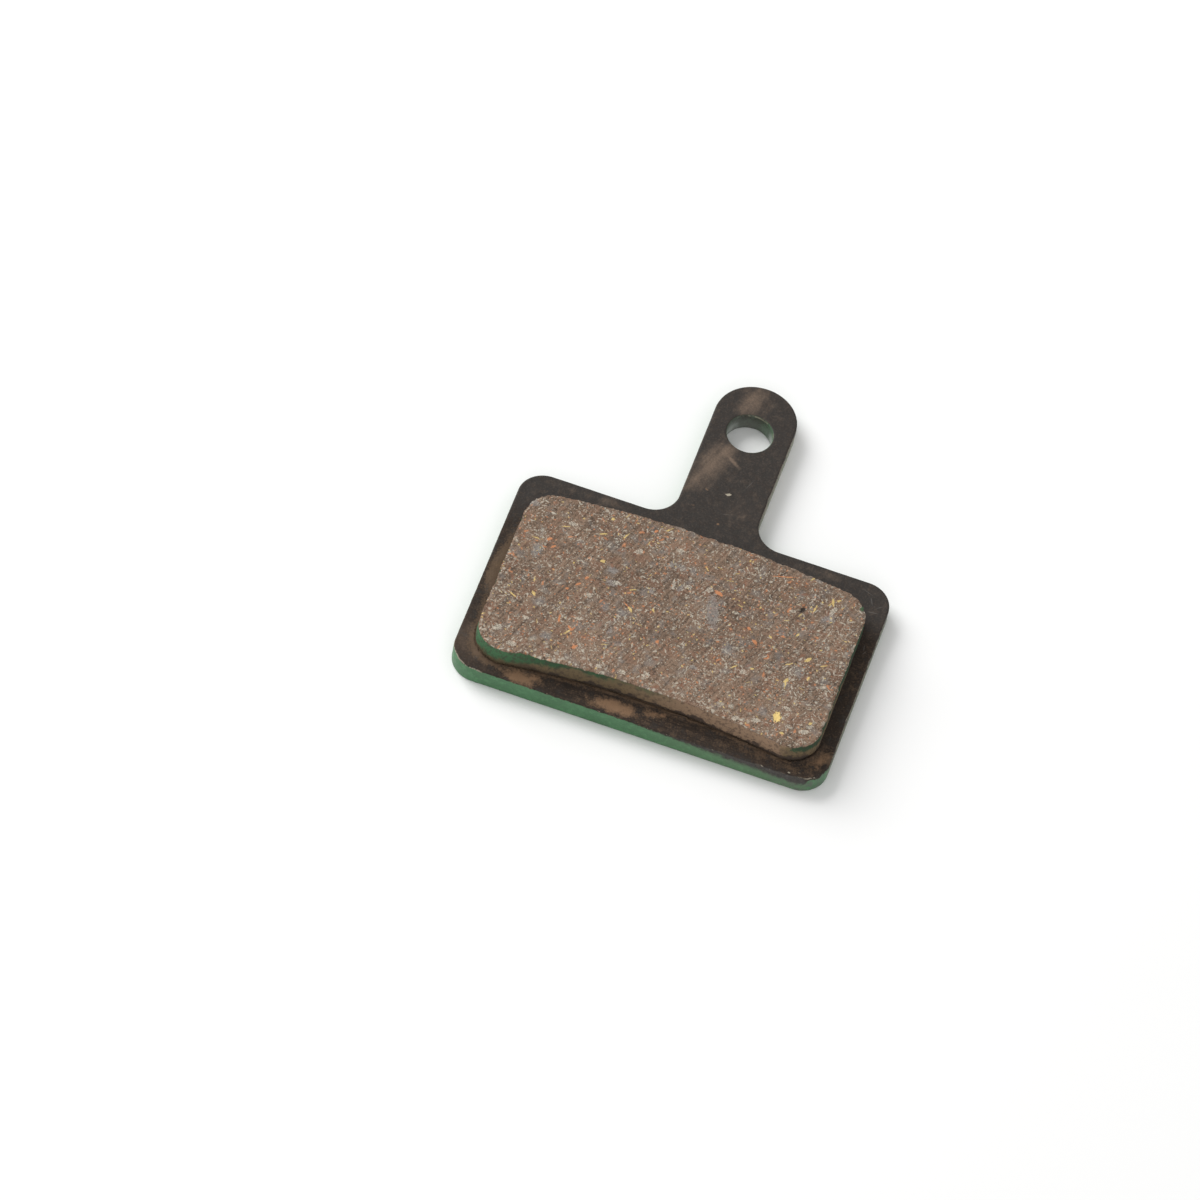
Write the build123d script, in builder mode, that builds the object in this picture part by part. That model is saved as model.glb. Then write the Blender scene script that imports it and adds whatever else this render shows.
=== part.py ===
"""Bicycle disc brake pad: a stamped steel backing plate with a friction block moulded onto it.

The pad lies on its back with the friction face up, in millimetres. The origin is the middle of the
plate's body on its back face, where the caliper piston pushes. +Y points to the tab, which hangs on
the caliper's retaining pin, and +Z points out of the friction face, towards the rotor.
"""

import os

from build123d import *

# Backing plate, a blank punched from flat steel
plate_width = 29.0
plate_height = 19.1  # without the tab
plate_thickness = 1.6
plate_corner_radius = 2.1
die_roll = 0.12  # rounding that the punch leaves round the outline, on the friction side
back_edge_break = 0.1  # tumbled burr round the outline, on the back

# Tab and its hole for the retaining pin
tab_width = 6.35  # the tip is a full round of this width
tab_length = 14.3  # from the plate's upper edge to the tip
tab_root_radius = 2.1
pin_hole_diameter = 3.5
pin_hole_height = 9.7  # from the plate's upper edge to the hole's centre
pin_hole_roll = 0.1  # rounding of the hole's two rims

# Friction block, a stretch of the ring that the pads sweep on the rotor
rotor_radius = 80.0
swept_ring_width = 15.05
block_width = 26.5
block_thickness = 1.65
block_crown = 7.6  # from the origin to the middle of the block's edge on the tab's side
block_corner_radius = 2.3
wall_draft = 3.0  # degrees, so that the block leaves its mould

# Keys, where the compound runs through the plate and grips it
key_diameter = 5.0
key_spacing = 15.0
key_recess = 0.15  # from the plate's back face to the end of a key

plate_top_edge = plate_height / 2
tab_tip_centre = plate_top_edge + tab_length - tab_width / 2
pin_hole_y = plate_top_edge + pin_hole_height
friction_face_z = plate_thickness + block_thickness
rotor_centre_y = block_crown - rotor_radius
swept_ring_inner_radius = rotor_radius - swept_ring_width

os.makedirs("parts", exist_ok=True)


# The plate: a rounded rectangle with the round-tipped tab standing on it, punched in one stroke
with BuildPart() as backing_plate:
    with BuildSketch() as plate_outline:
        Rectangle(plate_width, plate_height)
        fillet(plate_outline.vertices(), plate_corner_radius)
        with Locations((0, plate_top_edge)):
            Rectangle(tab_width, tab_tip_centre - plate_top_edge, align=(Align.CENTER, Align.MIN))
        with Locations((0, tab_tip_centre)):
            Circle(tab_width / 2)
        tab_roots = (
            plate_outline.vertices()
            .filter_by_position(Axis.Y, plate_top_edge, plate_top_edge)
            .filter_by_position(Axis.X, -tab_width, tab_width)
        )
        fillet(tab_roots, tab_root_radius)
    extrude(amount=plate_thickness)
    fillet(backing_plate.edges().group_by(Axis.Z)[-1], die_roll)
    fillet(backing_plate.edges().group_by(Axis.Z)[0], back_edge_break)
    with Locations((0, pin_hole_y, plate_thickness)):
        Hole(pin_hole_diameter / 2)
    pin_hole_rims = (
        backing_plate.edges()
        .filter_by(GeomType.CIRCLE)
        .filter_by(lambda rim: rim.is_closed and rim.arc_center.Y > plate_top_edge)
    )
    fillet(pin_hole_rims, pin_hole_roll)
    with Locations((0, 0, plate_thickness)):
        with GridLocations(key_spacing, 0, 2, 1):
            Hole(key_diameter / 2)
backing_plate.part.label = "backing_plate"


# The block: both long sides are arcs about the rotor's axis, and the drafted wall flares to its foot
with BuildPart() as friction_block:
    with BuildSketch(Plane.XY.offset(friction_face_z)) as face_outline:
        with Locations((0, rotor_centre_y)):
            Circle(rotor_radius)
            Circle(swept_ring_inner_radius, mode=Mode.SUBTRACT)
        Rectangle(block_width, 2 * swept_ring_width, mode=Mode.INTERSECT)
        fillet(face_outline.vertices(), block_corner_radius)
    extrude(amount=-block_thickness, taper=-wall_draft)
    with BuildSketch(Plane.XY.offset(key_recess)):
        with GridLocations(key_spacing, 0, 2, 1):
            Circle(key_diameter / 2)
    extrude(until=Until.NEXT)
friction_block.part.label = "friction_block"


export_step(backing_plate.part, "parts/backing_plate.step")
export_step(friction_block.part, "parts/friction_block.step")
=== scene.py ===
"""A worn bicycle disc brake pad on a pale studio floor, laid out as a Blender add-on.

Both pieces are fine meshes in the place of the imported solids, built from the same sizes. The backing
plate has dented edges and a lumpy bonding film, and is finished in green paint, dark film, rubbed
edges and brake dust. The friction block has a ground face, a crumbled rim and a compound of resin,
fibres, copper, brass and slate. Meshes are in metres, and MM turns millimetres into them. Finishes
and lists of marks are in millimetres, with turns in degrees.
"""

import math
from functools import reduce

import bpy
import numpy as np
from bpy.props import FloatProperty, FloatVectorProperty, PointerProperty
from mathutils import Matrix, Vector, kdtree, noise
from mathutils.geometry import delaunay_2d_cdt


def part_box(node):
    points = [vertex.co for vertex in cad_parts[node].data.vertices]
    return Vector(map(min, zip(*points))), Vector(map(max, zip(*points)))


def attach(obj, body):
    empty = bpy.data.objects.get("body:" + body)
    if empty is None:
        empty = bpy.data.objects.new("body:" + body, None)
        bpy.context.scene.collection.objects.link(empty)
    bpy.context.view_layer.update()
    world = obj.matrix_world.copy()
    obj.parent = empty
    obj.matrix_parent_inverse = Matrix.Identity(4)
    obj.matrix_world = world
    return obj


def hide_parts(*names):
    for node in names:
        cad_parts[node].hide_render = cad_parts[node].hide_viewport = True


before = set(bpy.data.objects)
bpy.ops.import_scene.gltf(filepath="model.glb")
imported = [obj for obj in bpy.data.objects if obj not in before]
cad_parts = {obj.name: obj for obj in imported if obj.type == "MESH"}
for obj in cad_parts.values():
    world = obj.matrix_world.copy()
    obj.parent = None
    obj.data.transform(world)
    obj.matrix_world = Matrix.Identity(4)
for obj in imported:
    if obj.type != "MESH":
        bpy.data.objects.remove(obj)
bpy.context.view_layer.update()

bl_info = {
    "name": "Disc Brake Pad",
    "version": (1, 0, 0),
    "blender": (4, 5, 0),
    "location": "3D View > Sidebar > Brake Pad",
    "description": "Builds a worn bicycle disc brake pad: backing plate, friction block and stage",
    "category": "Object",
}

MM = 0.001
PER_METRE = 1000.0
PLATE_NODE = "backing_plate"
BLOCK_NODE = "friction_block"
BODY = "root"

plate_low, plate_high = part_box(PLATE_NODE)
block_low, block_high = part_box(BLOCK_NODE)
PLATE_TOP = plate_high.z * PER_METRE
FACE_TOP = block_high.z * PER_METRE


def colour_property(name, description, default):
    """A colour that the user can change, as linear red, green and blue with full alpha."""
    return FloatVectorProperty(
        name=name, description=description, default=(*default, 1.0),
        size=4, min=0.0, max=1.0, subtype="COLOR",
    )


def length_property(name, description, millimetres):
    """A length that the user can change."""
    return FloatProperty(
        name=name, description=description, default=millimetres * MM,
        min=0.0, precision=5, subtype="DISTANCE", unit="LENGTH",
    )


def angle_property(name, description, degrees):
    """An angle that the user can change."""
    return FloatProperty(
        name=name, description=description, default=math.radians(degrees), subtype="ANGLE", unit="ROTATION",
    )


def power_property(name, description, watts):
    """A light's power that the user can change."""
    return FloatProperty(name=name, description=description, default=watts, min=0.0, unit="POWER")


class PlateSettings(bpy.types.PropertyGroup):
    """Sizes and finish of the backing plate."""

    width: length_property("Width", "Width of the plate", (plate_high.x - plate_low.x) * PER_METRE)
    height: length_property("Height", "Height of the plate without its tab", -2.0 * plate_low.y * PER_METRE)
    corner_radius: length_property("Corner radius", "Corners of the plate", 2.1)
    die_roll: length_property("Die roll", "Rounding round the outline on the friction side", 0.12)
    edge_break: length_property("Edge break", "Tumbled burr round the outline on the back", 0.1)
    tab_width: length_property("Tab width", "Width of the tab and of its round tip", 6.35)
    tab_length: length_property(
        "Tab length", "From the plate's upper edge to the tip", (plate_high.y + plate_low.y) * PER_METRE
    )
    tab_root_radius: length_property("Tab root radius", "Hollow rounding where the tab meets the plate", 2.1)
    pin_hole_diameter: length_property("Pin hole", "Diameter of the hole for the retaining pin", 3.5)
    pin_hole_height: length_property("Pin hole height", "From the plate's upper edge to its centre", 9.7)
    pin_hole_roll: length_property("Pin hole roll", "Rounding of the hole's two rims", 0.1)
    mesh_step: length_property("Mesh step", "Spacing of the points on the friction side", 0.13)
    paint: colour_property("Paint", "Green paint on the edges, the hole and the back", (0.073, 0.184, 0.085))
    film: colour_property("Film", "Dark bonding film on the tab", (0.0232, 0.0186, 0.0153))
    crust: colour_property("Crust", "Burnt film and dirt beside the block", (0.0300, 0.0198, 0.0140))
    dust: colour_property("Dust", "Tan brake dust caked on the film", (0.225, 0.134, 0.076))
    dirt: colour_property("Dirt", "Brown dirt beside the friction block", (0.106, 0.067, 0.040))
    smear: colour_property("Smear", "Dust smeared over the tab", (0.172, 0.119, 0.083))
    primer: colour_property("Primer", "Pale primer where film or paint is rubbed off", (0.33, 0.29, 0.22))
    # Worn paint is a painted highlight: the pale sides of the pin hole stand for light from the floor, not
    # wear from the pin.
    worn: colour_property("Worn paint", "Pale sides of the hole, where the pin rubs", (0.40, 0.42, 0.39))
    grime: colour_property("Grime", "Grey dirt on the rubbed edges", (0.060, 0.056, 0.052))


class BlockSettings(bpy.types.PropertyGroup):
    """Sizes and colours of the friction block."""

    width: length_property("Width", "Width of the friction face", 26.5)
    rotor_radius: length_property("Rotor radius", "Radius of the block's edge on the tab's side", 80.0)
    ring_width: length_property("Swept ring", "Width of the ring that the pad sweeps on the rotor", 15.05)
    crown: length_property("Crown", "From the origin to the middle of the edge on the tab's side", 7.6)
    corner_radius: length_property("Corner radius", "Corners of the friction face", 2.3)
    draft: angle_property("Draft", "Lean of the moulded wall", 3.0)
    key_diameter: length_property("Key diameter", "Keys that fill the plate's holes", 5.0)
    key_spacing: length_property("Key spacing", "Distance between the two keys", 15.0)
    mesh_step: length_property("Mesh step", "Spacing of the points on the friction face", 0.09)
    matrix: colour_property("Resin", "Resin and filler between the fibres", (0.167, 0.1125, 0.0770))
    fibre: colour_property("Fibre", "Pale mineral fibres", (0.50, 0.453, 0.37))
    copper: colour_property("Copper", "Copper chips", (0.55, 0.225, 0.10))
    brass: colour_property("Brass", "Brass chips", (0.72, 0.53, 0.20))
    slate: colour_property("Slate", "Grey mineral grains", (0.20, 0.19, 0.18))
    rust: colour_property("Rust", "Reddish tint where copper has worn away", (0.215, 0.100, 0.060))
    pore: colour_property("Pore", "Open pores and torn-out grains", (0.055, 0.040, 0.032))
    overspray: colour_property("Overspray", "Green paint on the block's wall", (0.046, 0.112, 0.052))
    wall_dust: colour_property("Wall dust", "Tan dust on the block's wall", (0.290, 0.190, 0.122))
    wall_soot: colour_property("Wall soot", "Olive soot on the block's wall", (0.170, 0.122, 0.066))


class StageSettings(bpy.types.PropertyGroup):
    """Camera, light and floor."""

    azimuth: angle_property("Azimuth", "Camera's turn round the pad from the near side", 8.305)
    elevation: angle_property("Elevation", "Camera's height above the floor as an angle", 52.965)
    roll: angle_property("Roll", "Camera's turn about its own axis", 11.92)
    distance: length_property("Distance", "From the camera to the point it aims at", 657.6)
    aim: FloatVectorProperty(
        name="Aim", description="Point that the camera aims at",
        default=(-5.52 * MM, -1.17 * MM, 3.25 * MM), subtype="TRANSLATION", unit="LENGTH",
    )
    lens: FloatProperty(name="Lens", description="Focal length", default=268.9, min=1.0, unit="CAMERA")
    floor: colour_property("Floor", "Pale seamless floor", (0.88, 0.88, 0.875))
    key_power: power_property("Key light", "Power of the large soft light", 4.4)
    fill_power: power_property("Fill light", "Power of the low front light", 0.95)
    sky: FloatProperty(name="Sky", description="Strength of the even light all round", default=0.60, min=0.0)


class BrakePadSettings(bpy.types.PropertyGroup):
    """All settings of the brake pad."""

    plate: PointerProperty(name="Plate", description="Sizes and finish of the plate", type=PlateSettings)
    block: PointerProperty(name="Block", description="Sizes and colours of the block", type=BlockSettings)
    stage: PointerProperty(name="Stage", description="Camera, light and floor", type=StageSettings)


# Thick tan brake dust on the film: x, y, half length, half width, turn, strength
DUST_PATCHES = (
    (-8.95, -8.95, 2.1, 0.95, 3.0, 1.9),
    (-8.1, -8.7, 1.2, 0.6, 20.0, 1.6),
    (-1.75, -8.72, 2.9, 1.0, 3.0, 1.9),
    (0.9, -8.3, 1.7, 0.7, 10.0, 1.1),
    (1.75, -8.1, 0.6, 0.35, 0.0, 1.4),
    (13.7, -7.5, 1.8, 0.8, 60.0, 1.15),
    (-13.75, 0.0, 0.6, 0.9, 0.0, 0.85),
    (0.3, 10.2, 0.22, 0.16, 0.0, 1.6),
    (-1.46, 12.95, 0.3, 0.16, -20.0, 0.9),
    (-1.91, 11.17, 0.3, 0.16, 0.0, 0.9),
)

# Thin sandy dirt that lets the film show through: same columns
THIN_DIRT = (
    (0.0, -8.5, 15.5, 2.2, 0.0, 0.75),
    (-8.9, -8.6, 3.6, 1.3, 3.0, 0.8),
    (-1.7, -8.4, 4.4, 1.5, 3.0, 0.8),
    (7.0, -7.6, 6.0, 0.7, -5.0, 0.9),
    (-12.0, -7.0, 2.6, 0.75, -45.0, 1.0),
    (-13.45, 0.2, 0.75, 6.4, 0.0, 1.9),
    (-13.85, -0.3, 0.75, 3.6, 0.0, 1.7),
    (14.2, -7.0, 1.1, 0.6, 85.0, 1.7),
    (14.0, 0.0, 0.9, 8.0, 0.0, 0.55),
    (13.5, -7.5, 3.0, 1.5, 60.0, 1.15),
    (11.6, -8.9, 2.4, 0.9, 5.0, 1.0),
    (9.0, -8.6, 5.0, 1.0, 0.0, 0.95),
    (-9.0, 8.1, 7.0, 0.7, 0.0, 0.5),
    (8.5, 8.1, 6.5, 0.7, 0.0, 0.4),
)

# Soot that streaks the strip along the near edge: same columns
SOOT_PATCHES = (
    (0.0, -8.7, 16.0, 1.6, 0.0, 0.3),
    (-5.9, -8.6, 2.6, 1.0, 2.0, 0.6),
    (4.4, -8.4, 3.0, 0.8, -6.0, 0.4),
    (14.15, -7.75, 0.35, 0.22, 60.0, 1.6),
)

# Soft smears of dust that a finger or the pin has rubbed: same columns
SMEARS = (
    (-1.75, 15.4, 3.6, 1.5, 74.0, 1.05),
    (-2.5, 13.7, 2.2, 1.0, 75.0, 0.85),
    (-1.2, 16.8, 1.5, 1.0, 60.0, 1.15),
    (-0.45, 16.27, 1.2, 0.24, -34.0, 1.25),
    (-0.75, 22.4, 2.1, 1.2, 72.0, 0.85),
    (-0.9, 21.5, 1.5, 1.1, 30.0, 0.7),
    (0.5, 22.0, 1.3, 0.9, 60.0, 0.3),
    (-13.5, -7.4, 2.6, 1.5, -50.0, 0.25),
    (1.6, 11.8, 2.2, 1.6, 30.0, 0.3),
    (-13.9, 0.0, 0.6, 5.0, 0.0, 0.35),
    (9.0, 8.9, 6.0, 0.6, 0.0, 0.3),
    (-9.0, 8.9, 6.0, 0.6, 0.0, 0.3),
)

# Even haze of dust on the film: same columns
HAZE = (
    (-13.6, -7.2, 3.0, 2.2, -50.0, 0.7),
    (-1.6, 15.2, 4.2, 2.2, 74.0, 0.22),
    (-0.5, 22.0, 2.6, 2.0, 72.0, 0.18),
)

# Hairline scratches in the film: same columns
SCRATCHES = (
    (13.05, 7.9, 0.5, 0.06, -66.0, 1.0),
    (13.4, 6.95, 0.6, 0.06, 8.0, 0.9),
    (13.75, 7.6, 0.4, 0.05, 40.0, 0.8),
    (13.75, 3.6, 0.4, 0.06, 100.0, 1.0),
    (13.9, 3.2, 0.35, 0.05, 60.0, 0.9),
    (12.6, 8.6, 0.7, 0.05, -20.0, 0.7),
    (1.4, 14.6, 0.8, 0.05, 70.0, 0.6),
    (0.6, 11.3, 0.7, 0.05, 15.0, 0.6),
)

# Spots where the film is gone and pale primer shows: same columns
CHIP_SPOTS = (
    (0.21, 13.13, 0.34, 0.17, 20.0, 1.0),
    (11.91, -9.33, 0.18, 0.12, 0.0, 1.0),
)

# Stretches of the film's border that are rubbed down to the primer; the rows on the plate's right edge, the
# tab and the pin hole's rim are partly a painted edge highlight: same columns
BARE_EDGES = (
    (-14.3, -4.0, 0.6, 6.5, 0.0, 0.8),
    (-14.0, -8.9, 1.8, 0.8, -52.0, 1.3),
    (-12.4, -9.6, 1.6, 0.5, -10.0, 0.9),
    (13.5, -9.2, 1.4, 0.6, 35.0, 0.6),
    (14.5, -1.0, 0.5, 9.0, 0.0, 1.1),
    (3.2, 15.0, 0.5, 7.0, 0.0, 1.3),
    (-3.2, 16.0, 0.5, 6.0, 0.0, 0.7),
    (0.0, 23.7, 3.0, 0.6, 0.0, 0.6),
    (0.2, 21.0, 1.6, 0.5, 0.0, 1.0),
    (1.7, 19.8, 0.5, 1.2, 0.0, 1.1),
)

# Flecks strewn over the face in this order: name, tint, cells per millimetre, half length, half width,
# share of the cells that hold a fleck, strength, seed, where they gather
FLECKS = (
    ("grains", "slate", 0.7, 0.50, 0.30, 0.14, 0.60, 1, "everywhere"),
    ("stains", "rust", 1.3, 0.24, 0.10, 0.36, 0.65, 11, "everywhere"),
    ("hollows", "pore", 1.4, 0.15, 0.07, 0.28, 0.60, 12, "everywhere"),
    ("pores", "pore", 3.0, 0.09, 0.06, 0.35, 0.60, 2, "everywhere"),
    ("crumbs", "fibre", 7.0, 0.05, 0.038, 0.40, 0.72, 3, "in crowds"),
    ("clumps", "tuft", 1.7, 0.14, 0.085, 0.28, 0.72, 4, "in crowds"),
    ("fibres", "fibre", 2.4, 0.18, 0.042, 0.33, 0.78, 5, "in crowds"),
    ("rim_crumbs", "fibre", 2.6, 0.13, 0.10, 0.42, 0.75, 10, "at the rim"),
    ("rim_clumps", "tuft", 0.9, 0.27, 0.17, 0.34, 0.85, 13, "near the rim"),
    ("copper_dust", "copper", 3.4, 0.09, 0.05, 0.21, 0.65, 6, "everywhere"),
    ("brass_dust", "brass", 2.6, 0.08, 0.045, 0.13, 0.65, 7, "everywhere"),
    ("copper_flecks", "copper", 1.25, 0.18, 0.07, 0.16, 0.80, 8, "everywhere"),
    ("brass_flecks", "brass", 1.1, 0.28, 0.045, 0.14, 0.85, 9, "everywhere"),
)
SHINY = ("copper_flecks", "brass_flecks", "copper_chips", "brass_chips", "brass_flakes")
RAISED = ("fibres", "clumps", "rim_crumbs", "rim_clumps")

# Notable chips and grains of the face: x, y, half length, half width, turn
BRASS_FLAKES = ((9.74, -6.13, 0.62, 0.36, 105.0),)
BRASS_CHIPS = (
    (10.38, -0.25, 0.42, 0.17, 52.0),
    (9.40, -2.72, 0.34, 0.15, 62.0),
    (10.85, -1.92, 0.26, 0.12, 85.0),
    (6.75, -2.68, 0.18, 0.13, 30.0),
    (11.60, -0.37, 0.40, 0.06, 30.0),
    (10.49, -7.35, 0.20, 0.13, 0.0),
    (12.19, -5.74, 0.20, 0.13, 60.0),
    (-3.20, -1.10, 0.32, 0.15, -45.0),
    (-6.40, 2.30, 0.25, 0.17, 10.0),
    (-10.24, -2.50, 0.27, 0.16, -50.0),
    (-6.90, 6.30, 0.19, 0.14, 30.0),
    (-7.16, 4.70, 0.42, 0.09, 25.0),
    (0.96, 4.70, 0.30, 0.08, -45.0),
    (10.54, 5.46, 0.46, 0.11, 105.0),
    (10.90, 5.76, 0.26, 0.11, 45.0),
    (8.96, 1.56, 0.28, 0.10, 70.0),
    (7.16, 0.60, 0.21, 0.10, -25.0),
    (-11.64, -3.20, 0.42, 0.08, -25.0),
    (-1.60, -0.50, 0.23, 0.10, -60.0),
)
COPPER_CHIPS = (
    (2.40, 2.90, 0.44, 0.22, -20.0),
    (-6.00, -5.96, 0.38, 0.17, 57.0),
    (-7.78, -3.95, 0.46, 0.10, 97.0),
    (-6.80, -4.45, 0.32, 0.12, -45.0),
    (-7.06, 0.40, 0.22, 0.15, 80.0),
    (-7.46, -0.40, 0.27, 0.12, 45.0),
    (-10.70, 2.70, 0.28, 0.16, 45.0),
    (-10.20, 2.16, 0.28, 0.11, 50.0),
    (-3.60, 6.50, 0.25, 0.14, 60.0),
    (-0.46, -3.10, 0.19, 0.15, 80.0),
    (8.00, 1.00, 0.18, 0.14, 0.0),
    (6.20, -0.30, 0.32, 0.18, -25.0),
    (5.46, 0.70, 0.27, 0.14, -35.0),
    (6.60, 6.30, 1.10, 0.06, 18.0),
    (-3.56, -0.82, 0.36, 0.07, -35.0),
    (-8.10, -1.10, 0.18, 0.13, 20.0),
)
SLATE_GRAINS = (
    (-5.50, 1.80, 0.50, 0.36, 0.0),
    (-5.10, 0.70, 0.72, 0.38, 10.0),
    (-2.20, 1.20, 0.38, 0.32, 70.0),
    (-0.34, 2.20, 0.45, 0.26, 80.0),
    (2.50, 1.10, 2.00, 0.60, -75.0),
    (-4.00, -3.60, 0.40, 0.26, 75.0),
    (10.50, 3.80, 0.40, 0.30, 30.0),
    (-1.60, 4.10, 0.42, 0.22, 80.0),
    (2.70, -4.30, 0.40, 0.26, 10.0),
)
PALE_GRAINS = (
    (-9.50, 4.70, 0.40, 0.26, 0.0),
    (-6.40, -1.04, 0.36, 0.26, 20.0),
    (-4.85, 0.78, 0.42, 0.26, 10.0),
    (1.70, 2.90, 0.38, 0.30, 40.0),
    (0.20, 2.54, 0.40, 0.20, 10.0),
    (-0.90, 2.30, 0.60, 0.14, 100.0),
    (8.00, 3.50, 0.45, 0.16, 22.0),
    (4.10, 1.70, 0.34, 0.20, 0.0),
    (6.20, -3.20, 0.34, 0.28, 40.0),
    (10.20, -5.10, 0.32, 0.26, 0.0),
    (-10.10, -4.80, 0.34, 0.15, 0.0),
    (-0.30, -6.30, 0.40, 0.26, 20.0),
    (-4.20, 4.20, 0.40, 0.28, 45.0),
    (-6.50, -3.40, 0.42, 0.15, 15.0),
    (-1.40, 5.50, 0.40, 0.22, 10.0),
    (10.80, 4.70, 0.50, 0.24, 80.0),
    (-10.37, -7.46, 0.45, 0.30, 10.0),
    (-11.71, -6.46, 0.40, 0.28, 60.0),
    (-7.59, -7.45, 0.36, 0.20, 0.0),
    (-3.75, -6.89, 0.36, 0.22, 20.0),
    (-2.02, -6.74, 0.36, 0.22, -10.0),
    (6.91, -7.43, 0.40, 0.24, 20.0),
    (8.32, -7.02, 0.42, 0.26, 10.0),
    (11.98, -6.64, 0.42, 0.26, 30.0),
    (12.19, -6.06, 0.30, 0.20, 0.0),
)
PAINT_SPOTS = ((12.80, 5.86, 0.5, 0.3, 60.0),)

# Pits in the friction face: x, y, half length, half width, turn, depth
FACE_PITS = (
    (8.63, 3.94, 0.30, 0.17, 70.0, 0.16),
    (-3.0, 1.0, 0.30, 0.12, 40.0, 0.07),
    (-4.1, 0.9, 0.20, 0.13, 80.0, 0.07),
    (11.34, -3.74, 0.13, 0.11, 0.0, 0.07),
)
# A pit at least this deep is painted near black, as painted shade in its hollow.
DEEP_PIT = 0.1  # depth from which a pit is black

# Where dust takes the place of the overspray on the near wall: from x, to x, share of the wall's height
OVERSPRAY_STEPS = (
    (-10.0, -8.0, 0.35),
    (-7.2, -5.5, 0.30),
    (-3.0, 0.5, 0.40),
    (11.1, 11.6, -0.65),
)

# Dents in the plate's upper edge: x, y, depth, length
EDGE_DENTS = (
    (-14.1, -8.8, 0.10, 0.5),
    (-13.4, -9.35, 0.08, 0.35),
    (-12.4, -9.55, 0.07, 0.4),
    (6.8, -9.55, 0.08, 0.5),
    (9.6, -9.55, 0.10, 0.35),
    (11.3, -9.55, 0.07, 0.22),
    (12.6, -9.45, 0.12, 0.45),
    (13.55, -9.1, 0.09, 0.22),
    (14.2, -8.2, 0.08, 0.3),
    (14.5, -3.2, 0.06, 0.4),
    (14.5, 2.6, 0.05, 0.3),
    (3.175, 14.0, 0.05, 0.3),
)

# Layers of noise in the meshes: height, wavelength, seed
EDGE_WAVES = ((0.010, 0.9, 11), (0.004, 0.25, 12))
FILM_LUMPS = ((0.012, 0.55, 3), (0.008, 0.24, 4))
PILED_DIRT = ((0.09, 1.3, 14),)
GRINDING_LINES = ((0.006, 0.28, 1),)
FACE_GRAINS = ((0.007, 0.26, 2), (0.008, 0.8, 7))
WALL_ROUGHNESS = ((0.022, 0.32, 8), (0.015, 0.9, 9))
FOOT_GROOVE = ((0.06, 1.6, 10),)

GRINDING_TURN = 70.0  # direction of the grinding lines on the face
GRINDING_STRETCH = 12.0  # how much longer than wide the grinding lines are
FACE_SINK = 0.015 * MM  # mean depth of the ground face under its plane
FILM_SINK = 0.012 * MM  # mean depth of the film under the plate's top
FILM_EDGE = 0.11  # from the plate's top down to the film's border on its edges
FOOT_SINK = 0.03 * MM  # how far the block's foot sinks into the film
DENT_FADE = (0.7 * MM, 0.1 * MM)  # under the plate's top: where dents begin, and where they are full
FACE_CRUMBLING = 0.6 * MM  # how far from the rim the crumbling reaches over the face
WALL_CRUMBLING = 0.9 * MM  # how far from the rim the crumbling reaches down the wall
HIDDEN_DEPTH = 0.5 * MM  # how far inside the block's outline the film is out of sight
HIDDEN_STEP = 10.0  # how many times further apart the film's points are there
EDGE_STEP = 0.11 * MM  # spacing of the points along the plate's outline
PIN_POINTS = 160  # points round the pin hole
KEY_POINTS = 96  # points round each key
WALL_RINGS = 19  # rings of points down the block's wall
SHARP_ANGLE = math.radians(40.0)
NO_POINTS = np.empty(0, dtype=int)

FLOOR_REACH = 2.0  # metres from the middle of the floor to its edges
SENSOR_WIDTH = 36.0  # millimetres
CLIP_RANGE = (0.01, 10.0)  # metres from the camera
# Square lights that face the origin: name, place and size in metres, setting that holds the power
LIGHTS = (
    ("soft_key", (-0.48, 0.25, 0.42), 0.48, "key_power"),
    ("front_fill", (0.15, -0.60, 0.35), 0.50, "fill_power"),
)


def toned(colour, share):
    """The same hue with a share of the light."""
    return [min(1.0, share * part) for part in colour[:3]] + [1.0]


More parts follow.
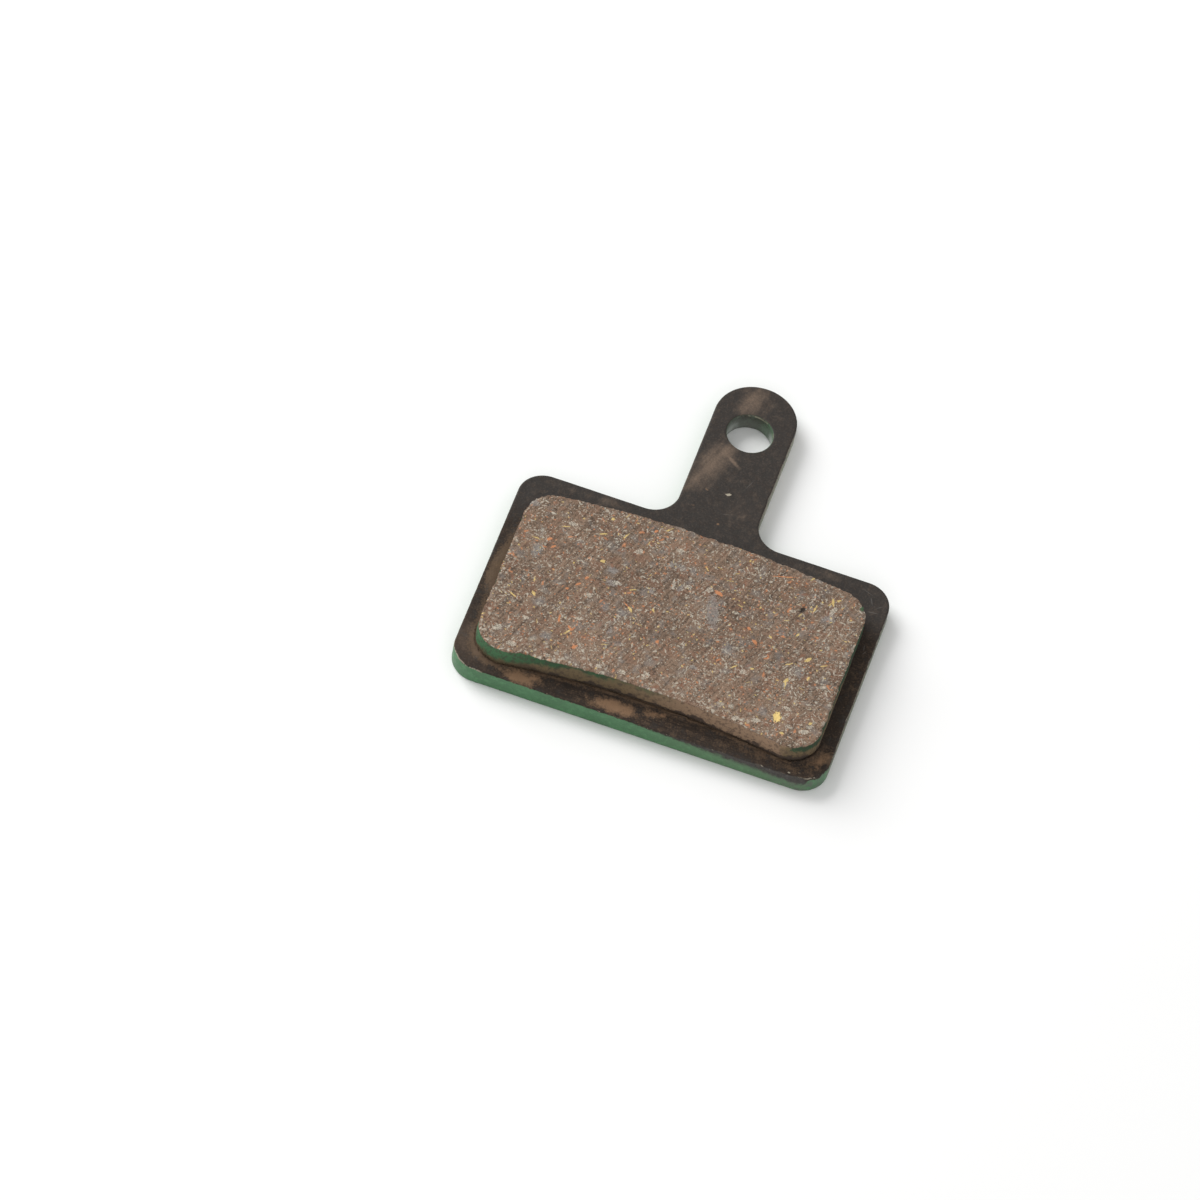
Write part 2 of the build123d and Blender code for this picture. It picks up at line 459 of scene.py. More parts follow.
class Finish:
    """A material's node tree in millimetres, with a method for each kind of node that the finishes use."""

    def __init__(self, name):
        self.material = bpy.data.materials.new(name)
        self.material.use_nodes = True
        self.tree = self.material.node_tree
        self.shader = self.tree.nodes["Principled BSDF"]
        metres = self.node("ShaderNodeTexCoord").outputs["Object"]
        scaled = self.node("ShaderNodeVectorMath", {0: metres, "Scale": PER_METRE}, operation="SCALE")
        self.place = scaled.outputs[0]
        self.x, self.y, self.z = self.node("ShaderNodeSeparateXYZ", {0: self.place}).outputs
        self.flat = self.node("ShaderNodeCombineXYZ", {0: self.x, 1: self.y}).outputs[0]

    def feed(self, socket, value):
        """Links a socket to another, or sets its own value."""
        if isinstance(value, bpy.types.NodeSocket):
            self.tree.links.new(value, socket)
        else:
            socket.default_value = value

    def node(self, kind, inputs=None, **settings):
        """A new node with its settings, and with inputs fed by their index or name."""
        made = self.tree.nodes.new(kind)
        for name, value in settings.items():
            setattr(made, name, value)
        for key, value in (inputs or {}).items():
            self.feed(made.inputs[key], value)
        return made

    def math(self, operation, *values):
        return self.node("ShaderNodeMath", dict(enumerate(values)), operation=operation).outputs[0]

    def vector(self, operation, *values):
        return self.node("ShaderNodeVectorMath", dict(enumerate(values)), operation=operation).outputs[0]

    def product(self, *values):
        return reduce(lambda total, value: self.math("MULTIPLY", total, value), values)

    def largest(self, *values):
        return reduce(lambda total, value: self.math("MAXIMUM", total, value), values)

    def scaled(self, value, factor, base):
        """A value times a factor, added to a base."""
        return self.math("MULTIPLY_ADD", value, factor, base)

    def sway(self, base, pattern, gain):
        """A base that a pattern around one half moves up and down."""
        return self.scaled(self.math("SUBTRACT", pattern, 0.5), gain, base)

    def step(self, value, low, high):
        """Smooth rise from 0 at low to 1 at high, or fall where low is the larger."""
        inputs = {0: value, 1: low, 2: high}
        return self.node("ShaderNodeMapRange", inputs, interpolation_type="SMOOTHSTEP").outputs[0]

    def mix(self, share, first, second):
        """Colour that goes from first to second as share goes from 0 to 1."""
        return self.node("ShaderNodeMix", {0: share, 6: first, 7: second}, data_type="RGBA").outputs[2]

    def shaded(self, colour, pattern, low, high, first, last):
        """A colour whose share of light goes from first to last as a pattern goes from low to high."""
        return self.mix(self.step(pattern, low, high), toned(colour, first), toned(colour, last))

    def layers(self, colour, rows):
        """A colour with tints laid over it in order: each row is a tint, its mask and its strength."""
        for tint, mask, strength in rows:
            colour = self.mix(self.product(mask, strength), colour, tint)
        return colour

    def noise(self, scale, detail=2.0, roughness=0.5, place=None):
        """Cloudy noise around one half, with scale in waves per millimetre."""
        inputs = {"Vector": place or self.place, "Scale": scale, "Detail": detail, "Roughness": roughness}
        return self.node("ShaderNodeTexNoise", inputs).outputs[0]

    def mapped(self, place, middle, length, width, turn):
        """A place as an oval sees it: from its middle, along its own directions, in its half sizes."""
        inputs = {
            "Vector": place,
            "Location": (*middle, 0.0),
            "Rotation": (0.0, 0.0, math.radians(turn)),
            "Scale": (length, width, 1.0),
        }
        return self.node("ShaderNodeMapping", inputs, vector_type="TEXTURE").outputs[0]

    def brushed(self, length, width, turn, detail=3.0, roughness=0.6):
        """Noise drawn out along one direction."""
        return self.noise(1.0, detail, roughness, self.mapped(self.place, (0.0, 0.0), length, width, turn))

    def patch(self, x, y, length, width, turn):
        """Soft oval on the XY plane: 1 at its middle, 0 at its rim."""
        oval = self.mapped(self.flat, (x, y), length, width, turn)
        return self.node("ShaderNodeTexGradient", {0: oval}, gradient_type="SPHERICAL").outputs[1]

    def field(self, patches):
        """Soft ovals with their strengths, the strongest at each place."""
        return self.largest(*[self.product(self.patch(*spot), strength) for *spot, strength in patches])

    def distance(self, x, y):
        """Distance from a point of the XY plane."""
        inputs = {0: self.flat, 1: (x, y, 0.0)}
        return self.node("ShaderNodeVectorMath", inputs, operation="DISTANCE").outputs["Value"]

    def from_rotor(self, block):
        """Distance from the rotor's axis."""
        return self.distance(0.0, (block.crown - block.rotor_radius) * PER_METRE)

    def surface(self, colour, roughness, relief, metallic=0.0):
        """The material, with its shader fed and a fine relief."""
        bump = self.node("ShaderNodeBump", {"Height": relief, "Distance": 0.03 * MM})
        inputs = {
            "Base Color": colour,
            "Metallic": metallic,
            "Roughness": roughness,
            "Specular IOR Level": 0.3,
            "Normal": bump.outputs[0],
        }
        for name, value in inputs.items():
            self.feed(self.shader.inputs[name], value)
        return self.material


class PlateFinish(Finish):
    """Green paint on edges, hole and back, dark film on the friction side, rubbed edges, chips and dust."""

    def __init__(self, plate, block):
        super().__init__("plate_paint_worn")
        self.plate = plate
        self.block = block
        self.fine = self.noise(7.0, 3.0, 0.6)
        self.medium = self.noise(2.2, 4.0, 0.65)
        self.mottle = self.noise(1.5, 5.0, 0.7)
        self.grit = self.sway(self.math("SUBTRACT", self.fine, 0.5), self.brushed(0.9, 0.13, 105.0), 0.45)
        self.on_top = self.step(self.z, PLATE_TOP - 0.14, PLATE_TOP - 0.09)
        pin_y = (plate.height / 2 + plate.pin_hole_height) * PER_METRE
        pin_radius = plate.pin_hole_diameter / 2 * PER_METRE
        self.in_hole = self.step(self.distance(0.0, pin_y), pin_radius + 0.06, pin_radius + 0.02)
        self.find_rubbed_edges()
        self.burnt = self.product(self.step(self.y, 7.5, 4.0), self.step(self.mottle, 0.3, 0.5))
        self.browned = self.deposit(self.thin_dirt(), 1.7, 0.3, 1.3)
        self.tanned = self.deposit(self.field(DUST_PATCHES), 0.8, 0.35, 1.4)

    def find_rubbed_edges(self):
        """Masks of the edges that rubbing has worn: near edge, right end, the tab's side, right corner; on
        the right end and the tab's side the bared primer is partly a painted edge highlight.
        """
        swayed_x = self.sway(self.x, self.mottle, 1.2)
        swayed_y = self.sway(self.y, self.mottle, 2.4)
        self.rubbed_near = self.product(self.step(self.y, -9.2, -9.45), self.step(self.x, -2.0, 9.0))
        self.rubbed_right = self.product(self.step(swayed_x, 14.1, 14.5), self.step(swayed_y, -8.5, -6.5))
        self.rubbed_tab = self.product(self.step(swayed_x, 2.5, 3.1), self.step(swayed_y, 10.0, 12.0))
        self.rubbed_corner = self.product(self.step(self.y, -7.6, -8.8), self.step(self.x, 9.0, 12.5))
        self.rubbed = self.largest(self.rubbed_near, self.rubbed_right, self.rubbed_tab)

    def deposit(self, field, gritty, low, high):
        """Dirt on the friction side where a field is strong, broken up by grit and mottling."""
        broken = self.scaled(self.grit, gritty, self.sway(field, self.mottle, 1.8))
        return self.product(self.step(broken, low, high), self.step(field, 0.0, 0.2), self.on_top)

    def thin_dirt(self):
        """Field of the thin dirt: its patches, and a strip along the near side of the block's foot."""
        corner = self.block.corner_radius * PER_METRE
        corner_x = self.block.width / 2 * PER_METRE - corner
        near_arc = (self.block.rotor_radius - self.block.ring_width) * PER_METRE
        sideways = self.math("SUBTRACT", self.math("ABSOLUTE", self.x), corner_x)
        nearer = self.math("SUBTRACT", near_arc + corner, self.from_rotor(self.block))
        sideways, nearer = self.largest(sideways, 0.0), self.largest(nearer, 0.0)
        squares = self.scaled(sideways, sideways, self.product(nearer, nearer))
        from_foot = self.math("SUBTRACT", self.math("SQRT", squares), corner)
        near_side = self.product(self.step(self.y, 1.0, -4.0), self.step(self.x, 13.2, 10.5))
        strip = self.product(self.step(from_foot, 0.85, 0.1), near_side)
        return self.largest(self.field(THIN_DIRT), self.product(strip, 1.15))

    def paint(self):
        """Green paint with dark specks and paler clouds, soiled where the edges are rubbed."""
        green = self.plate.paint
        specks = self.step(self.scaled(self.medium, 0.6, self.fine), 0.93, 1.02)
        paint = self.shaded(green, self.noise(0.45, 3.0, 0.6), 0.3, 0.7, 0.82, 1.0)
        paint = self.layers(paint, (
            (toned(green, 0.35), specks, 0.7),
            (toned(green, 0.72), self.step(self.fine, 0.4, 0.65), 0.3),
            (toned(green, 0.74), self.step(self.medium, 0.50, 0.36), 0.5),
            (toned(green, 1.35), self.step(self.medium, 0.50, 0.64), 0.5),
        ))
        soiled_corner = self.product(self.rubbed_corner, self.step(self.mottle, 0.35, 0.65))
        return self.layers(self.hole_paint(paint), (
            (self.plate.primer, self.rubbed_near, 0.1),
            (self.plate.dirt, self.rubbed_right, 0.45),
            (toned(self.plate.grime, 1.7), soiled_corner, 0.75),
        ))

    def hole_paint(self, paint):
        """The paint, grey and soiled in the pin hole, with a painted highlight on its two sides: pale there,
        most of all low down, for light from the floor.
        """
        aside = self.sway(self.math("ABSOLUTE", self.x), self.medium, 1.0)
        greyed = self.scaled(self.step(self.x, -0.8, 1.0), -0.45, 0.75)
        soiled = self.product(self.step(self.mottle, 0.3, 0.6), self.step(aside, 1.8, 0.5))
        low_down = self.step(self.z, PLATE_TOP - 0.2, PLATE_TOP - 1.2)
        # Painted highlight: the hole's sides are pale where they catch light from the floor, most of all low
        # down.
        floor_light_on_hole_sides = self.product(low_down, self.scaled(self.step(aside, 1.0, 1.75), 0.8, 0.2))
        return self.layers(paint, (
            (toned(self.plate.grime, 1.6), self.product(self.in_hole, greyed), 1.0),
            (self.plate.crust, self.product(self.in_hole, soiled), 0.65),
            (self.plate.crust, self.product(self.in_hole, self.step(self.fine, 0.52, 0.68)), 0.7),
            (self.plate.worn, self.product(self.in_hole, floor_light_on_hole_sides), 1.0),
        ))

    def film_mask(self):
        """Where the film covers the paint: down to a ragged border, which lies lower on rubbed edges."""
        border = self.scaled(self.rubbed, -0.52, PLATE_TOP - FILM_EDGE)
        border = self.scaled(self.step(self.x, -14.2, -14.4), 0.08, border)
        border = self.scaled(self.rubbed_corner, -0.22, border)
        ragged = self.sway(self.z, self.medium, self.scaled(self.rubbed, 0.3, 0.7))
        above = self.math("SUBTRACT", ragged, border)
        soft = self.scaled(self.rubbed, 0.22, 0.06)
        mask = self.step(above, self.product(soft, -1.0), soft)
        mask = self.largest(mask, self.step(self.z, PLATE_TOP - FILM_EDGE, PLATE_TOP - 0.08))
        return self.product(mask, self.math("SUBTRACT", 1.0, self.in_hole))

    def film(self):
        """Dark film: burnt beside the block, grey on the rubbed edges, with specks and haze."""
        plate = self.plate
        rubbed_band = self.product(self.rubbed, self.step(self.z, PLATE_TOP - 0.01, PLATE_TOP - 0.15))
        return self.layers(self.mix(self.burnt, plate.film, plate.crust), (
            (toned(plate.crust, 0.8), self.step(self.medium, 0.45, 0.65), 0.5),
            (plate.grime, rubbed_band, 0.9),
            (plate.smear, self.step(self.fine, 0.5, 0.72), 0.17),
            (toned(plate.film, 0.6), self.step(self.fine, 0.5, 0.3), 0.4),
            (plate.smear, self.step(self.mottle, 0.48, 0.7), 0.16),
            (plate.smear, self.step(self.field(HAZE), 0.0, 0.7), 0.2),
        ))

    def dirty_film(self):
        """The film under its dirt, soot, caked dust, smears and scratches."""
        plate = self.plate
        return self.layers(self.film(), (
            (plate.dirt, self.browned, 0.9),
            (toned(plate.crust, 0.6), self.soot(), 0.8),
            (plate.dust, self.tanned, 0.92),
            (plate.smear, self.smears(), 1.0),
            (toned(plate.grime, 2.2), self.step(self.field(SCRATCHES), 0.05, 0.6), 0.4),
        ))

    def soot(self):
        """Streaks of soot along the near edge."""
        streaks = self.brushed(2.4, 0.28, 0.0, 4.0, 0.65)
        sooty = self.step(self.sway(self.field(SOOT_PATCHES), streaks, 4.0), 0.3, 0.8)
        near_strip = self.product(self.step(self.y, -5.5, -6.8), self.step(self.x, -13.0, -11.4))
        return self.product(sooty, near_strip, self.on_top)

    def smears(self):
        """Dust wiped along the tab."""
        wiped = self.brushed(2.4, 0.55, 74.0, 3.0, 0.55)
        field = self.field(SMEARS)
        uneven = self.sway(self.sway(field, wiped, 0.85), self.mottle, 0.5)
        grainy = self.scaled(self.fine, 0.9, 0.30)
        return self.product(self.step(uneven, 0.0, 1.05), grainy, self.step(field, 0.0, 0.2))

    def bare(self):
        """Where the primer shows: along the film's border, in chips, and on scuffed sides; on the right
        edges, the tab and the pin hole's rim the pale primer is partly a painted edge highlight.
        """
        from_border = self.math("ABSOLUTE", self.math("SUBTRACT", self.z, PLATE_TOP - FILM_EDGE))
        ragged = self.scaled(self.fine, 0.5, self.scaled(self.field(BARE_EDGES), 0.3, self.medium))
        worn = self.product(self.step(from_border, 0.09, 0.03), self.step(ragged, 0.85, 1.0), 0.8)
        spots = self.field(CHIP_SPOTS)
        torn = self.step(self.sway(spots, self.fine, 1.2), 0.3, 0.5)
        chipped = self.product(torn, self.step(spots, 0.02, 0.1), self.on_top)
        # On the right end and the tab's side the scuffed primer is partly a painted edge highlight.
        sides = self.largest(self.rubbed_tab, self.product(self.rubbed_right, 0.3))
        patchy = self.step(self.scaled(self.fine, 0.5, self.mottle), 0.4, 1.0)
        scuffed = self.product(sides, self.step(self.z, PLATE_TOP - 0.3, PLATE_TOP - 0.6), patchy)
        return self.largest(worn, chipped, scuffed)

    def build(self):
        """The whole finish."""
        filmed = self.film_mask()
        colour = self.mix(filmed, self.paint(), self.dirty_film())
        colour = self.mix(self.bare(), colour, self.plate.primer)
        satin = self.scaled(filmed, 0.14, self.scaled(self.medium, 0.3, 0.27))
        matt = self.product(self.largest(self.burnt, self.browned, self.tanned), filmed)
        relief = self.scaled(self.fine, 0.6, self.scaled(self.tanned, 0.5, self.medium))
        return self.surface(colour, self.scaled(matt, 0.3, satin), relief)


class CompoundFinish(Finish):
    """Ground compound on the face, overspray and dust on the wall, paint on the ends of the keys."""

    def __init__(self, block, paint):
        super().__init__("friction_compound_worn")
        self.block = block
        self.paint = paint
        self.dots = self.noise(11.0, 2.0, 0.6)
        self.grain = self.noise(3.4, 3.0, 0.6)
        self.streaks = self.noise(0.8, 4.0, 0.65)
        self.tone = self.resin_tone()
        self.to_rim = self.rim_distance()
        self.tints = {name: getattr(block, name) for name in ("rust", "pore", "fibre", "copper", "brass")}
        self.tints["tuft"] = self.shaded(block.fibre, self.dots, 0.36, 0.64, 0.45, 1.3)
        self.tints["slate"] = self.shaded(block.slate, self.dots, 0.32, 0.68, 0.65, 1.5)
        self.masks = {}

    def resin_tone(self):
        """How light the resin is: dots, grains, grinding lines, a slow change over the face, and painted
        light that makes it lighter towards the near edge.
        """
        lines = self.brushed(3.5, 0.16, GRINDING_TURN)
        tone = self.scaled(self.grain, 0.22, self.product(self.dots, 0.44))
        tone = self.scaled(lines, 0.34, tone)
        tone = self.sway(tone, self.noise(0.3, 2.0, 0.5), 0.14)
        # Painted light: the resin is a little lighter towards the near edge, where the front light falls.
        return self.scaled(self.step(self.y, -1.0, -6.0), 0.024, tone)

    def rim_distance(self):
        """How far inside the face's rim a place lies, less than nothing outside it."""
        rotor = self.from_rotor(self.block)
        near_arc = (self.block.rotor_radius - self.block.ring_width) * PER_METRE
        to_near = self.math("SUBTRACT", rotor, near_arc)
        to_far = self.math("SUBTRACT", self.block.rotor_radius * PER_METRE, rotor)
        to_side = self.math("SUBTRACT", self.block.width / 2 * PER_METRE, self.math("ABSOLUTE", self.x))
        return self.math("MINIMUM", self.math("MINIMUM", to_near, to_far), to_side)

    def resin(self):
        """Resin with reddish and grey clouds."""
        clouds = self.noise(0.9, 3.0, 0.55)
        return self.layers(self.shaded(self.block.matrix, self.tone, 0.38, 0.62, 0.42, 1.48), (
            (self.block.rust, self.step(clouds, 0.50, 0.68), 0.3),
            (self.block.slate, self.step(clouds, 0.48, 0.3), 0.4),
        ))

    def drifted(self):
        """The flat place, pushed about a little so that cells aren't straight-sided."""
        wobble = self.node("ShaderNodeTexNoise", {"Vector": self.place, "Scale": 5.0, "Detail": 2.0})
        push = self.vector("SUBTRACT", wobble.outputs["Color"], (0.5, 0.5, 0.5))
        return self.vector("MULTIPLY_ADD", push, (0.22, 0.22, 0.0), self.flat)

    def flecks(self, place, per_mm, length, width, share, seed):
        """Flecks on the XY plane, one in each Voronoi cell: their mask, and a random pick for each."""
        shifted = self.vector("ADD", place, (seed * 7.31, seed * 3.17, 0.0))
        inputs = {"Vector": shifted, "Scale": per_mm}
        cells = self.node("ShaderNodeTexVoronoi", inputs, voronoi_dimensions="2D").outputs
        spin, lot, pick = self.node("ShaderNodeSeparateColor", {0: cells["Color"]}).outputs
        offset = self.vector("SUBTRACT", shifted, cells["Position"])
        inputs = {"Vector": offset, "Angle": self.product(spin, math.tau)}
        turned = self.node("ShaderNodeVectorRotate", inputs, rotation_type="Z_AXIS").outputs[0]
        parts = self.node("ShaderNodeSeparateXYZ", {0: turned}).outputs
        size = self.math("ADD", pick, 0.45)
        along = self.math("DIVIDE", parts[0], self.product(size, length))
        across = self.math("DIVIDE", parts[1], self.product(size, width))
        reach = self.math("SQRT", self.scaled(along, along, self.product(across, across)))
        inside = self.step(self.sway(reach, self.dots, 2.0), 1.1, 0.55)
        return self.product(inside, self.math("LESS_THAN", lot, share)), pick

    def strew_flecks(self, colour):
        """The colour with all flecks strewn over it; their masks are kept by name."""
        place = self.drifted()
        elsewhere = self.vector("ADD", self.place, (31.0, 7.0, 0.0))
        crowds = self.math("ADD", self.step(self.noise(0.33, 2.0, 0.55, elsewhere), 0.36, 0.64), 0.5)
        nearwards = self.scaled(self.step(self.y, 4.5, -1.0), 0.75, 0.25)
        rims = {
            "at the rim": self.product(self.step(self.to_rim, 1.6, 0.1), nearwards),
            "near the rim": self.product(self.step(self.to_rim, 3.2, 0.4), self.step(self.y, 3.0, -2.0)),
        }
        for name, tint, per_mm, length, width, share, strength, seed, where in FLECKS:
            if where == "in crowds":
                share = self.product(crowds, share)
            mask, pick = self.flecks(place, per_mm, length, width, share, seed)
            if where in rims:
                mask = self.product(mask, rims[where])
            self.masks[name] = mask
            amount = self.product(mask, self.scaled(pick, 0.6 * strength, 0.4 * strength))
            colour = self.mix(amount, colour, self.tints[tint])
        return colour

    def chips(self, spots):
        """Mask of ragged chips at given spots."""
        field = self.largest(*[self.patch(*spot) for spot in spots])
        ragged = self.sway(self.sway(field, self.dots, 1.6), self.grain, 0.6)
        return self.product(self.step(ragged, 0.18, 0.34), self.step(field, 0.0, 0.08))

    def place_chips(self, colour):
        """The colour with the notable grains, pits and chips, the deep pits painted near black as shade;
        masks of the metal ones are kept by name.
        """
        tints = self.tints
        deep = [(x, y, 1.3 * length, 1.3 * width, turn)
                for x, y, length, width, turn, depth in FACE_PITS if depth > DEEP_PIT]
        shallow = [spot for *spot, depth in FACE_PITS if depth <= DEEP_PIT]
        self.masks["copper_chips"] = self.chips(COPPER_CHIPS)
        self.masks["brass_chips"] = self.chips(BRASS_CHIPS)
        self.masks["brass_flakes"] = self.chips(BRASS_FLAKES)
        return self.layers(colour, (
            (tints["slate"], self.chips(SLATE_GRAINS), 0.55),
            (tints["tuft"], self.chips(PALE_GRAINS), 0.6),
            # Painted shade: the deep pits are tinted near black for the shade in their hollows.
            (toned(tints["pore"], 0.5), self.chips(deep), 0.95),
            (tints["pore"], self.chips(shallow), 0.6),
            (tints["copper"], self.masks["copper_chips"], 0.9),
            (tints["brass"], self.masks["brass_chips"], 0.75),
            (toned(tints["brass"], 1.1), self.masks["brass_flakes"], 0.97),
        ))

    def wall(self):
        """Colour of the moulded wall: dust and soot, green overspray to a ragged border, a dark foot, and
        painted shade on its right end.
        """
        block = self.block
        tall = FACE_TOP - PLATE_TOP
        rise = self.scaled(self.z, 1.0 / tall, -PLATE_TOP / tall)
        along = self.sway(self.x, self.streaks, 2.5)
        bared = 0.0
        for first, last, share in OVERSPRAY_STEPS:
            bared = self.scaled(self.step(along, first, last), share, bared)
        border = self.scaled(bared, self.step(self.y, 3.0, -3.0), 0.15)
        ragged = self.sway(self.sway(rise, self.grain, 0.5), self.streaks, 0.7)
        sprayed = self.step(self.math("SUBTRACT", ragged, border), -0.14, 0.14)
        green = self.shaded(block.overspray, self.x, -12.0, -7.0, 1.3, 0.8)
        # Painted shade on the wall's right end: from x 10.5 to 12.5 the overspray falls to half its light,
        # and past x 11.2 the tan dust gives way to darker soot.
        green = self.mix(self.step(self.x, 10.5, 12.5), green, toned(block.overspray, 0.5))
        dusty = self.product(self.step(self.x, -3.0, 5.0), self.step(along, 11.2, 10.6))
        middle = self.product(self.step(along, -8.0, -4.0), self.step(along, 3.0, -0.5))
        stained = self.product(middle, self.step(self.sway(rise, self.streaks, 1.2), 0.5, 0.95))
        return self.layers(toned(block.wall_soot, 0.9), (
            (block.wall_dust, dusty, 1.0),
            (green, sprayed, 1.0),
            (green, stained, 0.6),
            (block.pore, self.step(self.grain, 0.45, 0.68), 0.6),
            self.wall_foot(),
        ))

    def wall_foot(self):
        """Tint, mask and strength of the darker band at the wall's foot, which reaches higher on the left.
        """
        soot, pore = toned(self.block.wall_soot, 0.65), toned(self.block.pore, 0.9)
        tint = self.mix(self.step(self.x, -11.0, -7.0), soot, pore)
        leftwards = self.step(self.x, -5.0, -10.0)
        faint = self.scaled(leftwards, 0.35, PLATE_TOP + 0.40)
        full = self.scaled(leftwards, -0.10, PLATE_TOP + 0.20)
        height = self.sway(self.sway(self.z, self.grain, 0.5), self.streaks, 2.2)
        return tint, self.step(height, faint, full), 0.9

    def build(self):
        """The whole finish."""
        colour = self.place_chips(self.strew_flecks(self.resin()))
        below_face = self.step(self.sway(self.z, self.grain, 0.25), FACE_TOP - 0.10, FACE_TOP - 0.20)
        on_wall = self.product(below_face, self.step(self.to_rim, 1.3, 0.9))
        key_ends = self.step(self.z, PLATE_TOP - 0.2, PLATE_TOP - 0.4)
        colour = self.layers(colour, (
            (self.wall(), on_wall, 1.0),
            (toned(self.paint, 0.5), self.chips(PAINT_SPOTS), 0.9),
            (self.shaded(self.paint, self.grain, 0.36, 0.64, 0.74, 1.3), key_ends, 1.0),
        ))
        metal = self.largest(*[self.masks[name] for name in SHINY])
        shine = self.product(metal, self.math("SUBTRACT", 1.0, on_wall))
        raised = self.scaled(self.largest(*[self.masks[name] for name in RAISED]), 0.3, self.tone)
        relief = self.scaled(self.masks["pores"], -0.6, raised)
        return self.surface(colour, self.scaled(shine, -0.4, 0.85), relief, self.product(shine, 0.35))


def waves(points, length, seed):
    """Smooth noise between about -1 and 1 at each point, with the given wavelength."""
    shift = Vector((seed * 17.3, seed * 5.1, seed * 9.7))
    return np.array([noise.noise(Vector(point) / length + shift) for point in points])


def relief(points, layers, lift=0.0):
    """Sum of layers of noise at each point, each lifted by a share of its height."""
    return sum(height * MM * (lift + waves(points, length * MM, seed)) for height, length, seed in layers)


def fade(value, low, high):
    """Smooth rise from 0 at low to 1 at high."""
    share = np.clip((value - low) / (high - low), 0.0, 1.0)
    return share * share * (3.0 - 2.0 * share)


def bell(distance, width):
    """Soft bump of height 1 that has nearly gone at twice its width."""
    return np.exp(-((distance / width) ** 2))


def nearest(points, targets):
    """Index of the target nearest to each point, and the distance to it."""
    tree = kdtree.KDTree(len(targets))
    for index, target in enumerate(targets):
        tree.insert(target, index)
    tree.balance()
    found = [tree.find(point) for point in points]
    return np.array([hit[1] for hit in found]), np.array([hit[2] for hit in found])


def at_height(flat, height):
    """Points of the XY plane lifted to a height."""
    return np.column_stack([flat, np.full(len(flat), height)])


def circle(x, y, radius, count):
    """Points round a circle, anticlockwise."""
    turn = np.linspace(0.0, math.tau, count, endpoint=False)
    return np.stack([x + radius * np.cos(turn), y + radius * np.sin(turn)], axis=-1)


def strewn_points(low, high, step):
    """Points over a rectangle in offset rows."""
    x = np.arange(low[0], high[0], step)
    rows = np.arange(low[1], high[1], step * math.sqrt(3.0) / 2.0)
    lines = [np.column_stack([x + row % 2 * step / 2.0, np.full(len(x), y)]) for row, y in enumerate(rows)]
    return np.concatenate(lines)


def key_places(block):
    """Middle and radius of each key."""
    return [(side * block.key_spacing / 2, 0.0, block.key_diameter / 2) for side in (-1, 1)]


class Shell:
    """Points and faces of a mesh while it grows."""

    def __init__(self):
        self.points = np.empty((0, 3))
        self.faces = []

    def add(self, flat, height):
        """Adds points at a height and returns their indices."""
        self.points = np.concatenate([self.points, at_height(flat, height)])
        return np.arange(len(self.points) - len(flat), len(self.points))

    def loft(self, rings):
        """Wall between rings that run anticlockwise, from the lowest to the highest."""
        for lower, upper in zip(rings, rings[1:]):
            quads = np.stack([lower, np.roll(lower, -1), np.roll(upper, -1), upper], axis=-1)
            self.faces += quads.tolist()

    def sheet(self, loops, spread, holes, upwards):
        """Face inside the first loop, over spread points and clear of the holes in the other loops."""
        index = np.concatenate([*loops, spread])
        edges, first = [], 0
        for loop in loops:
            run = np.arange(first, first + len(loop))
            edges += np.stack([run, np.roll(run, -1)], axis=-1).tolist()
            first += len(loop)
        flat = [Vector(point) for point in self.points[index, :2] * PER_METRE]
        inside_loops, tolerance = 1, 1e-5
        made = delaunay_2d_cdt(flat, edges, [], inside_loops, tolerance)
        source = [index[given[0]] for given in made[3]]
        for triangle in made[2]:
            corners = [int(source[corner]) for corner in triangle]
            x, y = self.points[corners, :2].mean(axis=0)
            if all(math.hypot(x - hole_x, y - hole_y) > radius for hole_x, hole_y, radius in holes):
                self.faces.append(corners if upwards else corners[::-1])

    def mesh(self, name):
        """The finished mesh, smooth between its sharp edges."""
        made = bpy.data.meshes.new(name)
        made.from_pydata(self.points.tolist(), [], self.faces)
        made.validate()
        made.shade_smooth()
        made.set_sharp_from_angle(angle=SHARP_ANGLE)
        return made


